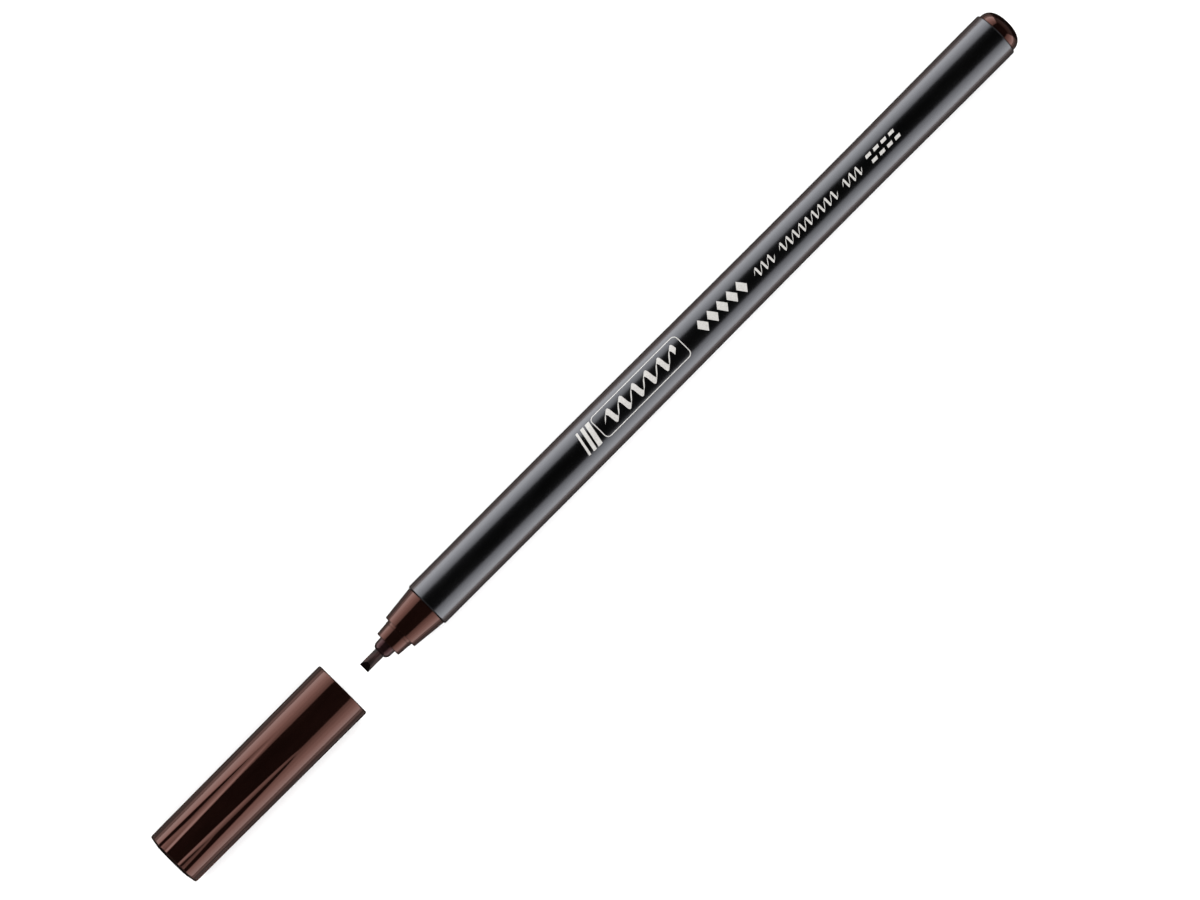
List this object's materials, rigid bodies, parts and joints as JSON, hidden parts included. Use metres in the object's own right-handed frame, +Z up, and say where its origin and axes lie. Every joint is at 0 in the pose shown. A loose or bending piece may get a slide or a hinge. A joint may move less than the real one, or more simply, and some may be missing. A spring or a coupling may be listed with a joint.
{
  "type": "calligraphy marker",
  "caption": "Broad-nib calligraphy marker lying uncapped, with a black barrel, a brown nose and end plug, and a fluted cap that slides on over the chisel nib.",
  "frame": {"origin": "middle of the bounding box's underside: halfway along the pen and its cap, at the height the cap's mouth rests on", "axes": "+X along the pen from its nib towards its end plug, +Z up, and +Y across to the left of the nib's writing direction"},
  "size_m": [0.204, 0.0114, 0.0114],
  "materials": {
    "satin_black": "satin black moulded plastic, printed in silver grey",
    "gloss_brown": "polished dark brown moulded plastic",
    "mauve_plastic": "soft satin purplish brown plastic",
    "nib_fibre": "dense bonded fibre stained by sepia ink, wet and black at its tip",
    "inked_fibre": "soft fibre bundle soaked in sepia ink",
    "clear_film": "thin clear film",
    "liner_plastic": "soft natural plastic"
  },
  "bodies": {
    "pen": {"barrel": "satin_black", "nose_section": "gloss_brown", "nib_holder": "mauve_plastic", "nib": "nib_fibre", "ink_reservoir": "inked_fibre", "reservoir_wrap": "clear_film", "end_plug": "gloss_brown"},
    "cap": {"cap_shell": "gloss_brown", "seal_liner": "liner_plastic"}
  },
  "joints": [
    {"name": "cap_pull", "type": "slide", "parent": "pen", "child": "cap", "axis": [-1, 0, 0], "range_m": [-0.0434, 0.02]}
  ]
}
